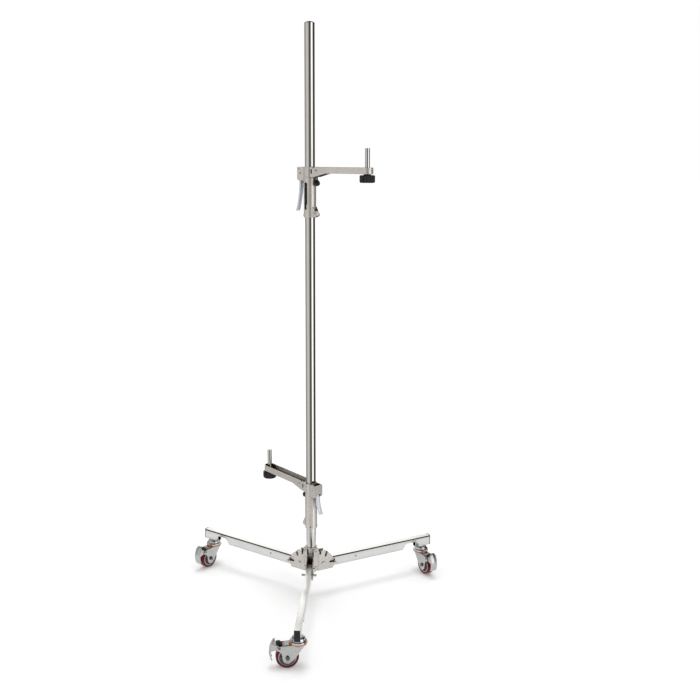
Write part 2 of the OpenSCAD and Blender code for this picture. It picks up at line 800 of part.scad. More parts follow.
module arm(k) {
    gusset_foot = 33;
    window_x = 23;
    window_w = 6;
    window_top = 10;
    window_low = 20;
    notch = [30, 5, 4];
    color(satin) at_arm(k) difference() {
        union() {
            translate([0, 0, -arm_h]) linear_extrude(arm_h) arm_outline(0);
            plate_pair(arm_w / 2 - arm_sheet, arm_sheet) polygon([[0, -arm_h + past],
                [0, -arm_h - gusset_drop], [gusset_foot, -arm_h - gusset_drop], [gusset_end, -arm_h],
                [gusset_end, -arm_h + past]]);
        }
        translate([0, 0, arm_sheet - arm_h]) linear_extrude(arm_h) arm_outline(arm_sheet);
        translate([0, 0, -2 * arm_h - gusset_drop]) cylinder(r = sleeve_r, h = 3 * arm_h + gusset_drop);
        // Clear of the sleeve's root plates
        plate_pair(root_in, root_t) square_below(root_x, arm_h + gusset_drop + past);
        translate([arm_reach, 0, -arm_h - past])
            cylinder(d = stud_d + 2 * running, h = arm_sheet + 2 * past);
        translate([ball_u, 0, -arm_h - past])
            cylinder(d = ball_stem_d + 2 * running, h = arm_sheet + 2 * past);
        // Oblong windows and top notches near the root
        plate(-arm_w, 2 * arm_w) {
            translate([window_x - window_w / 2, -window_low]) square([window_w, window_low - window_top]);
            for (z = [window_low, window_top]) translate([window_x, -z]) circle(window_w / 2);
            translate([notch[0], -notch[2]]) square([notch[1], notch[2] + past]);
        }
        cross_bar(arm_bolt_x, arm_bolt_z, arm_bolt_d + 2 * running, arm_w + 2 * past);
    }
}

// Lever pin, roller pin, cross bolt of the arm and the sleeve's small screw
module arm_pins(k) {
    color(chrome) at_arm(k) {
        cross_bar(lever_x, lever_z, lever_pin_d, box_w);
        for (side = [-1, 1])
            cross_head(lever_x, side * box_w / 2, lever_z, lever_pin_d + 2 * pin_head_out, pin_head_h);
        cross_bar(roller_u, roller_z, roller_pin_d, 2 * (ear_in + arm_sheet));
        for (side = [-1, 1])
            cross_head(roller_u, side * (ear_in + arm_sheet), roller_z,
                roller_pin_d + 2 * pin_head_out, pin_head_h);
        cross_bar(arm_bolt_x, arm_bolt_z, arm_bolt_d, arm_w);
        for (side = [-1, 1])
            cross_head(arm_bolt_x, side * arm_w / 2, arm_bolt_z, arm_bolt_head_d, arm_bolt_head_h);
    }
}

module roller(k) {
    color(nylon) at_arm(k) difference() {
        cross_bar(roller_u, roller_z, roller_d, roller_w);
        cross_bar(roller_u, roller_z, roller_pin_d + 2 * running, roller_w + 2 * past);
    }
}

// Outer edge of the lever: straight inside the box, then curving away from the sleeve
function lever_edge(k, offset) = concat(
    [[lever_root_x + offset, lever_root_z]],
    [for (s = [0 : 0.1 : 1])
        [offset - box_back - (lever_out - box_back) * s * s, -box_h - (lever_tip[k] - box_h) * s]]);

module lever_band(k, depth) {
    outer = lever_edge(k, 0);
    inner = lever_edge(k, depth);
    polygon(concat(outer, [for (p = [len(inner) - 1 : -1 : 0]) inner[p]]));
}

module release_lever(k) {
    color(chrome) at_arm(k) difference() {
        union() {
            plate(-lever_w / 2, lever_w) lever_band(k, lever_sheet);
            plate_pair(lever_w / 2 - lever_sheet, lever_sheet) union() {
                lever_band(k, lever_depth);
                translate([lever_x, lever_z]) circle(lever_boss_r);
                polygon([[lever_x - lever_boss_r, lever_z], [lever_root_x, lever_root_z],
                    [lever_root_x + lever_depth, lever_root_z - 2], [lever_x + lever_boss_r, lever_z]]);
            }
        }
        cross_bar(lever_x, lever_z, lever_pin_d + 2 * running, box_w);
    }
}

module brake_shoe(k) {
    back = -column_r - clear - shoe_t;
    color(grey) at_arm(k) difference() {
        block([back, -shoe_w / 2, -shoe_z - shoe_h / 2], [0, shoe_w / 2, -shoe_z + shoe_h / 2]);
        translate([0, 0, -shoe_z - shoe_h]) cylinder(r = column_r + clear, h = 2 * shoe_h);
    }
}

module ball_knob(k) {
    ball_stem_top = 8;
    color(black) at_arm(k) translate([ball_u, 0, 0]) {
        translate([0, 0, -ball_drop]) sphere(d = ball_d);
        translate([0, 0, -ball_drop]) cylinder(d = ball_stem_d, h = ball_drop - ball_stem_top);
    }
}

module spigot(k) {
    floor_z = arm_sheet - arm_h;
    stud_l = arm_sheet + clear + knob_neck_h + knob_h - knob_floor - past;
    color(steel) at_arm(k) translate([arm_reach, 0, 0]) {
        translate([0, 0, floor_z]) cylinder(d = spigot_d, h = spigot_h - floor_z);
        translate([0, 0, floor_z]) cylinder(r = knob_neck_r, h = spigot_flange_h);
        translate([0, 0, floor_z - stud_l]) cylinder(d = stud_d, h = stud_l);
    }
}

module clamp_knob(k) {
    knob_top = -arm_h - clear - knob_neck_h;
    color(black) at_arm(k) translate([arm_reach, 0, 0]) difference() {
        union() {
            translate([0, 0, knob_top - knob_h]) cylinder(d = knob_d, h = knob_h);
            translate([0, 0, knob_top]) cylinder(r = knob_neck_r, h = knob_neck_h);
        }
        for (a = [0 : flutes - 1]) rotate([0, 0, a * 360 / flutes])
            translate([knob_d / 2, 0, knob_top - knob_h - past])
                cylinder(r = flute_r, h = knob_h + 2 * past - knob_floor);
        translate([0, 0, knob_top - knob_h + knob_floor])
            cylinder(d = stud_d + 2 * running, h = knob_h + knob_neck_h);
    }
}

column_tube();
column_top_plug();
hub_core();
hub_bolts();

for (i = [0 : 2]) {
    leg_bracket(i);
    leg_tube(i);
    leg_end_cap(i);
    lock_pin(i);
    caster_head(i);
    dust_ring(i);
    fork(i);
    axle(i);
    wheel_core(i);
    tread(i);
    brake_pedal(i);
    brake_pad(i);
}

for (k = [0 : 1]) {
    sleeve(k);
    guide_bush(k);
    arm(k);
    arm_pins(k);
    roller(k);
    release_lever(k);
    brake_shoe(k);
    ball_knob(k);
    spigot(k);
    clamp_knob(k);
}
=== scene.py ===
"""Looks of the roller stand: finishes, lathe-turned and pressed pieces, camera and light."""

import json
import math

import bmesh
import bpy
from mathutils import Matrix, Vector


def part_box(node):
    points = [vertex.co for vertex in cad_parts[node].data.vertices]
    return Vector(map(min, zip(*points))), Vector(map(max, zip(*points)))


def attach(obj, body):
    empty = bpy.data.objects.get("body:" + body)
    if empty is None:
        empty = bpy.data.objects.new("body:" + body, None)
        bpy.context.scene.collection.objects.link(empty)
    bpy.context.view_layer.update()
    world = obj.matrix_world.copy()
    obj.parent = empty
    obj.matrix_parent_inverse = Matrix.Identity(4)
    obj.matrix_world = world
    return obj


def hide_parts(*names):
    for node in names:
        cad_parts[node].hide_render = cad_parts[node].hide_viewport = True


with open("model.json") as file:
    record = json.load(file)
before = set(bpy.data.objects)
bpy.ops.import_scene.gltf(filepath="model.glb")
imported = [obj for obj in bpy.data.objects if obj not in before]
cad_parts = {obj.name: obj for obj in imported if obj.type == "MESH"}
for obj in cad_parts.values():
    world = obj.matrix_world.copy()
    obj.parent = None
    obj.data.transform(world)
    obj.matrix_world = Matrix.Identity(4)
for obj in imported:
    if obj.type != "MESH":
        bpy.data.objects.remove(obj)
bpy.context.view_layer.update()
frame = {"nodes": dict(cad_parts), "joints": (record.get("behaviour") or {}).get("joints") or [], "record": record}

LEGS = ("front", "right", "left")
ARMS = ("upper", "lower")
MM = 0.001
JOINTS = {joint["name"]: joint for joint in frame["joints"]}

# Sizes in millimetres that the new pieces share with the solids they dress
WHEEL_R = 37.5
CORE_R = 30.0
TREAD_W = 26.0
TRAIL = 36.0
AXLE_BORE_R = 4.05
FORK_IN = 15.1
FORK_SHEET = 2.5
FORK_TOP = 80.0
HEAD_BOTTOM = 83.6
LEG_BOTTOM = 101.85
RING_BOTTOM = 80.6
PEDAL_X = 62.0
PEDAL_Z = 72.0
PEDAL_W = 28.0
PEDAL_PIN_BORE_R = 2.55
PIVOT_U = 44.0
PIVOT_Z = 120.6
SLEEVE_R = 21.8
CLEAR = 0.3
ARM_REACH = 250.0
ARM_H = 21.0
ARM_BOLT_X = 44.0
KNOB_D = 51.0
KNOB_H = 25.0
BALL_D = 20.0
BALL_U = 33.0
BALL_DROP = 55.0
BOX_BACK = 44.0
BOX_W = 34.0
BOX_H = 46.0
LEVER_W = 15.0
LEVER_DEPTH = 8.0
LEVER_TIP = {"upper": 150.0, "lower": 104.0}
LEVER_OUT = 61.0
LEVER_PIN_X = -30.0
LEVER_PIN_Z = -22.0
LEVER_PIN_BORE_R = 2.55


# Frames of reference

def joint_place(name):
    return Vector(JOINTS[name]["pos_m"])


def frame_at(origin, along):
    """A frame in millimetres, at a point given in metres, with X along a level direction and Z up."""
    x = Vector((along[0], along[1], 0)).normalized()
    y = Vector((-x.y, x.x, 0))
    m = Matrix((x, y, Vector((0, 0, 1)))).transposed().to_4x4()
    return Matrix.Translation(origin) @ m @ Matrix.Scale(MM, 4)


def caster_frame(leg):
    """On the floor at the swivel axis, with X along the trail."""
    swivel = joint_place(f"caster_swivel_{leg}")
    along = joint_place(f"wheel_spin_{leg}") - swivel
    return frame_at(Vector((swivel.x, swivel.y, 0)), along)


def arm_frame(arm):
    """On the column's axis at the arm's top edge, with X along the arm."""
    clamp = joint_place(f"{arm}_clamp_turn")
    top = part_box(f"{arm}_sleeve")[1].z
    return frame_at(Vector((0, 0, top)), clamp)


def leg_frame(leg):
    """On the floor at the column's axis, with X along the leg."""
    return frame_at(Vector((0, 0, 0)), joint_place(f"caster_swivel_{leg}"))


# Materials

# The span of a noise texture's values that the ramps use
NOISE_LOW = 0.3
NOISE_HIGH = 0.7
BUMP_DISTANCE = 0.0002


def tint(colour, factor):
    return tuple(min(1.0, c * factor) for c in colour)


class Nodes:
    """A material's node tree, with short calls to add nodes to it."""

    def __init__(self, name):
        self.material = bpy.data.materials.new(name)
        self.material.use_nodes = True
        self.tree = self.material.node_tree
        self.shader = self.tree.nodes["Principled BSDF"]

    def add(self, kind, **values):
        node = self.tree.nodes.new(kind)
        for key, value in values.items():
            if key in node.inputs:
                node.inputs[key].default_value = value
            else:
                setattr(node, key, value)
        return node

    def link(self, source, target):
        self.tree.links.new(source, target)

    def place(self, stretch=(1, 1, 1)):
        """Object coordinates, stretched for grain that runs one way."""
        coord = self.add("ShaderNodeTexCoord")
        mapping = self.add("ShaderNodeMapping")
        mapping.inputs["Scale"].default_value = stretch
        self.link(coord.outputs["Object"], mapping.inputs["Vector"])
        return mapping.outputs["Vector"]

    def noise(self, scale, stretch=(1, 1, 1), detail=4.0):
        """Noise of a scale per metre."""
        node = self.add("ShaderNodeTexNoise", Scale=scale, Detail=detail)
        self.link(self.place(stretch), node.inputs["Vector"])
        return node.outputs["Fac"]

    def spread(self, value, low, high):
        """A noise value, spread from low to high."""
        node = self.add("ShaderNodeMapRange")
        node.inputs["From Min"].default_value = NOISE_LOW
        node.inputs["From Max"].default_value = NOISE_HIGH
        node.inputs["To Min"].default_value = low
        node.inputs["To Max"].default_value = high
        self.link(value, node.inputs["Value"])
        return node.outputs["Result"]

    def ramp(self, value, stops):
        """A colour by value, from stops of (position, colour)."""
        node = self.add("ShaderNodeValToRGB")
        while len(node.color_ramp.elements) < len(stops):
            node.color_ramp.elements.new(0.5)
        for element, (position, colour) in zip(node.color_ramp.elements, stops):
            element.position = position
            element.color = (*colour, 1)
        self.link(value, node.inputs["Fac"])
        return node.outputs["Color"]

    def drift(self, value, colour, low, high):
        """The colour, which a noise value makes darker and brighter between two factors."""
        return self.ramp(value, [(NOISE_LOW, tint(colour, low)), (NOISE_HIGH, tint(colour, high))])

    def blend(self, share, base, other):
        """The base colour, which turns into the other colour as the share rises to 1."""
        node = self.add("ShaderNodeMix", data_type="RGBA")
        node.inputs["B"].default_value = (*other, 1)
        self.link(share, node.inputs["Factor"])
        self.link(base, node.inputs["A"])
        return node.outputs["Result"]

    def surface_normal(self, edge, height, strength):
        """A bump on top of edges that are rounded by the radius edge. The result is without the bump."""
        bevel = self.add("ShaderNodeBevel", Radius=edge)
        bevel.samples = 6
        bump = self.add("ShaderNodeBump", Strength=strength, Distance=BUMP_DISTANCE)
        self.link(height, bump.inputs["Height"])
        self.link(bevel.outputs["Normal"], bump.inputs["Normal"])
        self.link(bump.outputs["Normal"], self.shader.inputs["Normal"])
        return bevel.outputs["Normal"]

    def below(self, top, reach, stops):
        """A ramp of object height, from the height top down over the reach."""
        coord = self.add("ShaderNodeTexCoord")
        parts = self.add("ShaderNodeSeparateXYZ")
        self.link(coord.outputs["Object"], parts.inputs["Vector"])
        depth = self.add("ShaderNodeMapRange")
        depth.inputs["From Min"].default_value = top
        depth.inputs["From Max"].default_value = top - reach
        self.link(parts.outputs["Z"], depth.inputs["Value"])
        return self.ramp(depth.outputs["Result"], stops)

    def painted_cavity_shade(self, colour, reach, shade_tint):
        """Painted shade: the colour, darkened to the tint shade_tint where ambient occlusion finds the surface
        inside a channel or a corner.
        """
        open_air = self.add("ShaderNodeAmbientOcclusion", Distance=reach)
        open_air.samples = 8
        closed_in, open_out = 0.40, 0.70
        share = self.ramp(open_air.outputs["AO"], [(closed_in, shade_tint), (open_out, (1, 1, 1))])
        mix = self.add("ShaderNodeMix", data_type="RGBA")
        mix.blend_type = "MULTIPLY"
        mix.inputs["Factor"].default_value = 1.0
        self.link(colour, mix.inputs["A"])
        self.link(share, mix.inputs["B"])
        return mix.outputs["Result"]

    def edge_wear_and_painted_light(self, bevel_normal):
        """About 1 on rounded edges and 0 on flats. It marks edges made paler by wear, and it also carries painted
        light: painted highlights on the knob's flutes and painted shade along the satin steel's edges.
        """
        geometry = self.add("ShaderNodeNewGeometry")
        dot = self.add("ShaderNodeVectorMath", operation="DOT_PRODUCT")
        self.link(geometry.outputs["Normal"], dot.inputs[0])
        self.link(bevel_normal, dot.inputs[1])
        flat_until, edge_full_from = 0.985, 0.90
        node = self.add("ShaderNodeMapRange")
        node.inputs["From Min"].default_value = flat_until
        node.inputs["From Max"].default_value = edge_full_from
        self.link(dot.outputs["Value"], node.inputs["Value"])
        return node.outputs["Result"]


def metal(name, colour, rough, grain=(1, 1, 1), scale=900.0, edge=0.0006, bump=0.05, mottling=0.06,
          share=1.0, rim=1.25, shade_tint=None):
    """A metal with fine grain, slow colour drift and edges of another brightness: paler with wear where rim is
    over 1, and darker where rim is under 1, partly from the sheet's dark cut edges and partly as painted shade.

    A share under 1 is plated matt. A tint given as shade_tint darkens channels and corners with painted shade.
    """
    shade_reach = 0.035
    n = Nodes(name)
    n.shader.inputs["Metallic"].default_value = share
    fine = n.noise(scale, grain)
    slow = n.noise(14.0, detail=2.0)
    normal = n.surface_normal(edge, fine, bump)
    base = n.drift(slow, colour, 1 - mottling, 1 + mottling)
    # Edges take the tint rim: over 1 they are paler with wear, under 1 darker, partly dark cut edges and partly
    # painted shade
    worn_and_painted_edge = n.blend(n.edge_wear_and_painted_light(normal), base, tint(colour, rim))
    # Painted shade in channels and corners, where a shade tint is given
    n.link(n.painted_cavity_shade(worn_and_painted_edge, shade_reach, shade_tint) if shade_tint else worn_and_painted_edge, n.shader.inputs["Base Color"])
    n.link(n.spread(fine, rough * 0.75, rough * 1.3), n.shader.inputs["Roughness"])
    return n.material


def leg_steel():
    """Bright plated tube. A dark stripe just under its top edge is a painted reflection, where a rounded edge
    would mirror the dark end of the room; the tube is a little darker towards its bottom edge, and its channels
    and corners get painted shade.
    """
    colour, dark, shade_tint = (0.93, 0.925, 0.91), (0.035, 0.028, 0.022), (0.10, 0.085, 0.07)
    edge, bump, leg_h, shade_reach = 0.001, 0.02, 0.0375, 0.04
    n = Nodes("leg_tube_steel")
    n.shader.inputs["Metallic"].default_value = 0.7
    fine = n.noise(900.0, (0.3, 0.3, 1))
    slow = n.noise(14.0, detail=2.0)
    n.surface_normal(edge, fine, bump)
    leg_top = max(corner[2] for corner in frame["nodes"]["leg_tube_front"].bound_box)
    plain, rounded, soft = (0, 0, 0), (1, 1, 1), (0.12, 0.12, 0.12)
    # Painted reflection: dark from about 1 mm to 5 mm under the top edge, then fading; faintly darker again
    # towards the bottom edge
    painted_reflection_band = n.below(leg_top, leg_h, [(0.014, plain), (0.026, rounded), (0.135, rounded), (0.18, soft),
                                    (0.35, plain), (0.7, plain), (1.0, soft)])
    shaded = n.blend(painted_reflection_band, n.drift(slow, colour, 0.96, 1.03), dark)
    # Painted shade in the tube's channels and corners
    n.link(n.painted_cavity_shade(shaded, shade_reach, shade_tint), n.shader.inputs["Base Color"])
    n.link(n.spread(fine, 0.1, 0.2), n.shader.inputs["Roughness"])
    return n.material


def plastic(name, colour, rough, scale=1400.0, edge=0.0005, bump=0.12, worn_and_painted_edge=2.2):
    """A moulded plastic with a fine spark-eroded texture and edges made paler by wear. A large edge factor paints
    highlights on the edges.
    """
    n = Nodes(name)
    n.shader.inputs["Specular IOR Level"].default_value = 0.45
    fine = n.noise(scale)
    slow = n.noise(40.0, detail=3.0)
    normal = n.surface_normal(edge, fine, bump)
    base = n.drift(slow, colour, 0.88, 1.15)
    # Edges paler with wear; on the knob, painted highlights
    n.link(n.blend(n.edge_wear_and_painted_light(normal), base, tint(colour, worn_and_painted_edge)), n.shader.inputs["Base Color"])
    n.link(n.spread(slow, rough * 0.85, rough * 1.2), n.shader.inputs["Roughness"])
    return n.material


def tread_material():
    """Dark red polyurethane with light scuffs."""
    dark_red = (0.13, 0.006, 0.008)
    edge, bump = 0.0008, 0.08
    n = Nodes("tread_polyurethane")
    n.shader.inputs["Specular IOR Level"].default_value = 0.3
    scuff = n.noise(260.0, detail=6.0)
    slow = n.noise(35.0)
    n.surface_normal(edge, scuff, bump)
    n.link(n.drift(slow, dark_red, 0.8, 1.5), n.shader.inputs["Base Color"])
    n.link(n.spread(scuff, 0.28, 0.5), n.shader.inputs["Roughness"])
    return n.material


# Grain that runs along Z
ALONG_Z = (1, 1, 0.02)

MATERIAL = {
    "polished_steel": metal("polished_tube", (0.80, 0.785, 0.76), rough=0.07, grain=ALONG_Z, scale=700.0,
                            edge=0.0009, bump=0.01, mottling=0.02),
    "leg_steel": leg_steel(),
    "satin_steel": metal("satin_nickel", (0.75, 0.71, 0.665), rough=0.24, grain=(1, 1, 0.5), scale=1100.0,
                         # rim 0.30: dark edges, partly the sheet's dark cut edges and partly painted shade of the
                         # gaps beside them
                         edge=0.0010, bump=0.05, mottling=0.07, share=0.6, rim=0.30,
                         # the tint of the painted shade in channels and corners
                         shade_tint=(0.10, 0.075, 0.06)),
    "bright_chrome": metal("bright_chrome", (0.80, 0.81, 0.84), rough=0.2, scale=500.0, edge=0.0006,
                           bump=0.015, mottling=0.02),
    "lever_chrome": metal("lever_chrome", (0.87, 0.90, 0.97), rough=0.3, grain=(1, 1, 0.3), scale=500.0,
                          edge=0.0006, bump=0.02, mottling=0.02, share=0.45, rim=1.1),
    "zinc_steel": metal("zinc_plate", (0.63, 0.63, 0.625), rough=0.28, scale=260.0, edge=0.0007,
                        bump=0.06, mottling=0.09),
    "dark_bolt": metal("dark_bolt", (0.20, 0.195, 0.19), rough=0.38, edge=0.0005, bump=0.08,
                       mottling=0.12),
    # A dark brown for the thin sheets of painted shade on the sleeve
    "painted_gap_shade": metal("painted_gap_shade", (0.09, 0.075, 0.06), rough=0.5, edge=0.0004, mottling=0.1),
    "black_plastic": plastic("black_plastic", (0.010, 0.010, 0.011), rough=0.38, worn_and_painted_edge=3.0),
    # An edge factor of 9.0 lifts the flute edges ninefold as painted highlights
    "knob_plastic": plastic("knob_plastic", (0.012, 0.012, 0.013), rough=0.2, worn_and_painted_edge=9.0),
    "orange_plastic": plastic("orange_ring", (0.70, 0.21, 0.03), rough=0.45, worn_and_painted_edge=1.2),
    "grey_plastic": plastic("grey_nylon", (0.17, 0.17, 0.185), rough=0.5, worn_and_painted_edge=1.6),
    "white_nylon": plastic("white_nylon", (0.62, 0.60, 0.56), rough=0.45, worn_and_painted_edge=1.2),
    "brake_lining": plastic("brake_lining", (0.06, 0.06, 0.062), rough=0.75, scale=500.0, edge=0.0004,
                            bump=0.4, worn_and_painted_edge=1.4),
    "tread_red": tread_material(),
}


def dress_nodes():
    """Gives every solid the finish of its slot in the record."""
    slots = {part["node"]: part["material_slot"] for part in frame["record"]["subparts"]}
    for name, obj in frame["nodes"].items():
        key = "leg_steel" if name.startswith("leg_tube") else slots[name]
        obj.data.materials.clear()
        obj.data.materials.append(MATERIAL[key])


# Mesh makers. Points are in millimetres, and a matrix lays the mesh out in metres.

def add_piece(name, mesh_maker, matrix, body, material, replaced=(), smooth=35, bevel=0.0):
    """Turns a mesh into a piece of the object that rides on a body."""
    bm = bmesh.new()
    mesh_maker(bm)
    same_point = 1e-5
    bmesh.ops.remove_doubles(bm, verts=bm.verts, dist=same_point)
    bmesh.ops.recalc_face_normals(bm, faces=bm.faces)
    bm.transform(matrix)
    mesh = bpy.data.meshes.new(name)
    bm.to_mesh(mesh)
    bm.free()
    obj = bpy.data.objects.new(name, mesh)
    bpy.context.scene.collection.objects.link(obj)
    mesh.materials.append(MATERIAL[material])
    mesh.shade_smooth()
    mesh.set_sharp_from_angle(angle=math.radians(smooth))
    if bevel:
        modifier = obj.modifiers.new("edges", "BEVEL")
        modifier.width = bevel * MM
        modifier.segments = 3
        modifier.limit_method = "ANGLE"
        modifier.angle_limit = math.radians(40)
    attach(obj, body)
    if replaced:
        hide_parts(*replaced)


# A lathe's point nearer to its axis than this lies on it
ON_AXIS = 1e-6


def lathe(bm, profile, place=Matrix.Identity(4), steps=96, closed=False):
    """Turns a profile of (radius, height) points about Z. A closed profile joins its ends."""
    rings = []
    for k in range(steps):
        a = 2 * math.pi * k / steps
        rings.append([bm.verts.new(place @ Vector((r * math.cos(a), r * math.sin(a), z)))
                      for r, z in profile])
    count = len(profile)
    last = count if closed else count - 1
    for k in range(steps):
        here, after = rings[k], rings[(k + 1) % steps]
        for i in range(last):
            j = (i + 1) % count
            corners = [here[i], after[i], after[j], here[j]]
            if profile[i][0] < ON_AXIS:
                corners = [here[i], after[j], here[j]]
            elif profile[j][0] < ON_AXIS:
                corners = [here[i], after[i], here[j]]
            bm.faces.new(corners)


def arc(centre, radius, start, end, steps=6):
    """Points on an arc, with its angles in degrees."""
    return [(centre[0] + radius * math.cos(math.radians(start + (end - start) * k / steps)),
             centre[1] + radius * math.sin(math.radians(start + (end - start) * k / steps)))
            for k in range(steps + 1)]


def prism(bm, outline, low, high, place=Matrix.Identity(4), holes=()):
    """Extrudes an outline, with its holes, from one height to the other."""
    before = set(bm.verts)
    edges = []
    for loop in (outline, *holes):
        verts = [bm.verts.new(Vector((x, y, low))) for x, y in loop]
        edges += [bm.edges.new((verts[i], verts[(i + 1) % len(verts)])) for i in range(len(verts))]
    filled = bmesh.ops.triangle_fill(bm, use_beauty=True, use_dissolve=True, edges=edges)
    faces = [g for g in filled["geom"] if isinstance(g, bmesh.types.BMFace)]
    grown = bmesh.ops.extrude_face_region(bm, geom=faces)
    lifted = [g for g in grown["geom"] if isinstance(g, bmesh.types.BMVert)]
    bmesh.ops.translate(bm, verts=lifted, vec=(0, 0, high - low))
    fresh = [v for v in bm.verts if v not in before]
    bmesh.ops.transform(bm, matrix=place, verts=fresh)


def circle(centre, radius, steps):
    """Points on a circle."""
    return [(centre[0] + radius * math.cos(2 * math.pi * k / steps),
             centre[1] + radius * math.sin(2 * math.pi * k / steps)) for k in range(steps)]


# An outline in the X-Z plane, extruded along Y
UPRIGHT = Matrix(((1, 0, 0, 0), (0, 0, 1, 0), (0, 1, 0, 0), (0, 0, 0, 1)))
# A lathe's axis laid along Y
CROSSWISE = Matrix.Rotation(math.radians(90), 4, "X")


def join_rings(bm, rings, close_start=True):
    """Joins rings of corners into a skin. Its last end is closed, and its first one where asked."""
    for here, after in zip(rings, rings[1:]):
        for i in range(len(here)):
            j = (i + 1) % len(here)
            bm.faces.new((here[i], here[j], after[j], after[i]))
    if close_start:
        bm.faces.new(rings[0][::-1])
    bm.faces.new(rings[-1])


def sweep(bm, section, stations):
    """Joins copies of a closed section, one for each station's matrix."""
    join_rings(bm, [[bm.verts.new(m @ Vector((x, y, 0))) for x, y in section] for m in stations])


# Casters

def wheel_pieces(leg):
    at = caster_frame(leg) @ Matrix.Translation((TRAIL, 0, WHEEL_R)) @ CROSSWISE

    def tread(bm):
        half = TREAD_W / 2
        shoulder = 3.5
        shoulder_x, shoulder_y = WHEEL_R - shoulder - 0.4, half - shoulder
        crown = [(WHEEL_R - 0.35, 1.5 - shoulder_y), (WHEEL_R, 0), (WHEEL_R - 0.35, shoulder_y - 1.5)]
        low = arc((shoulder_x, -shoulder_y), shoulder, -90, 0)
        high = arc((shoulder_x, shoulder_y), shoulder, 0, 90)
        lathe(bm, [(CORE_R, -half + 1), (CORE_R + 1.2, -half), *low, *crown, *high,
                   (CORE_R + 1.2, half), (CORE_R, half - 1)], closed=True)

    def core(bm):
        side = [(AXLE_BORE_R, 14.5), (9, 14.5), *arc((9, 13.5), 1, 90, 0, 3), (10.4, 11.2), (12.6, 10.2),
                (13.4, 6.6), *arc((16, 7), 2.4, 180, 270, 4), (22.5, 4.4),
                *arc((23.2, 6.6), 2.3, 270, 340, 4), (26.2, 10.6), *arc((27.4, 10.7), 0.8, 180, 90, 3),
                (28.8, 11.5), (29.2, 10.8), (CORE_R, 10.8)]
        lathe(bm, side + [(r, -z) for r, z in reversed(side)], closed=True)

    def spokes(bm):
        spoke_count = 8
        rib = [(13, -0.9), (26, -0.7), (26, 0.7), (13, 0.9)]
        for k in range(spoke_count):
            turn = Matrix.Rotation(2 * math.pi * k / spoke_count, 4, "Z")
            for side in (-1, 1):
                prism(bm, rib, side * 4.0, side * 8.2, turn)

    def rim_ring(bm):
        section = ((26.6, 11.2), (27.0, 12.0), (28.9, 12.0), (29.4, 11.5), (29.4, 11.0), (26.6, 11.0))
        for side in (-1, 1):
            lathe(bm, [(r, side * z) for r, z in section], closed=True)

    body = f"wheel_{leg}"
    add_piece(f"tread_ring_{leg}", tread, at, body, "tread_red", (f"tread_{leg}",))
    add_piece(f"wheel_centre_{leg}", core, at, body, "grey_plastic",
              (f"wheel_core_{leg}",))
    add_piece(f"wheel_ribs_{leg}", spokes, at, body, "grey_plastic", bevel=0.3)
    add_piece(f"rim_ring_{leg}", rim_ring, at, body, "zinc_steel")


def caster_head_pieces(leg):
    at = caster_frame(leg)

    def dome(bm):
        """The plate under the leg, the two bowls of the ball race and the king pin with its head."""
        top, low = LEG_BOTTOM, HEAD_BOTTOM
        race_r, groove_r, groove_h = 18, 11, 4
        king_r, king_low = 8, 72.7
        king_head_r, king_head_top = 10.6, 76.7
        lathe(bm, [(0, top), (14.5, top), *arc((14.5, top - 2.2), 2.2, 90, 25, 5),
                   *arc((17.0, top - 6.2), 5.3, 52, 8, 5), (22.9, 93.2),
                   *arc((26.2, 93.4), 3.4, 190, 262, 5), *arc((26.6, 88.6), 1.4, 80, 0, 4),
                   (28, 84.6), (27.4, low), (race_r, low), (race_r, low + groove_h),
                   (groove_r, low + groove_h), (groove_r, low), (king_r, low), (king_r, king_head_top),
                   (king_head_r, king_head_top), *arc((king_head_r, 75.8), 0.9, 90, 0, 3),
                   *arc((9.5, king_low + 2), 2, 0, -90, 3), (0, king_low)])

    def stem(bm):
        """The caster's stud and its nut inside the leg."""
        stud_r, nut_r, nut_h = 5, 7.75, 8
        wall = LEG_BOTTOM + 2
        lathe(bm, [(0, LEG_BOTTOM), (stud_r, LEG_BOTTOM), (stud_r, wall + 10), (4.2, wall + 11),
                   (0, wall + 11)], steps=32)
        nut_bore = circle((0, 0), stud_r + 0.05, 24)
        prism(bm, circle((0, 0), nut_r, 6), wall, wall + nut_h, holes=(nut_bore,))

    def ring(bm):
        low, high = RING_BOTTOM, RING_BOTTOM + 3
        lathe(bm, [(18, low), (27.4, low), *arc((27.8, low + 1.2), 1.2, -90, 0, 4),
                   *arc((27.8, high - 1.2), 1.2, 0, 90, 4), (18, high)], closed=True)

    body = f"leg_{leg}"
    add_piece(f"caster_dome_{leg}", dome, at, body, "bright_chrome",
              (f"caster_head_{leg}",), smooth=40)
    add_piece(f"caster_stem_{leg}", stem, at, body, "zinc_steel")
    add_piece(f"dust_seal_{leg}", ring, at, body, "orange_plastic",
              (f"dust_ring_{leg}",))


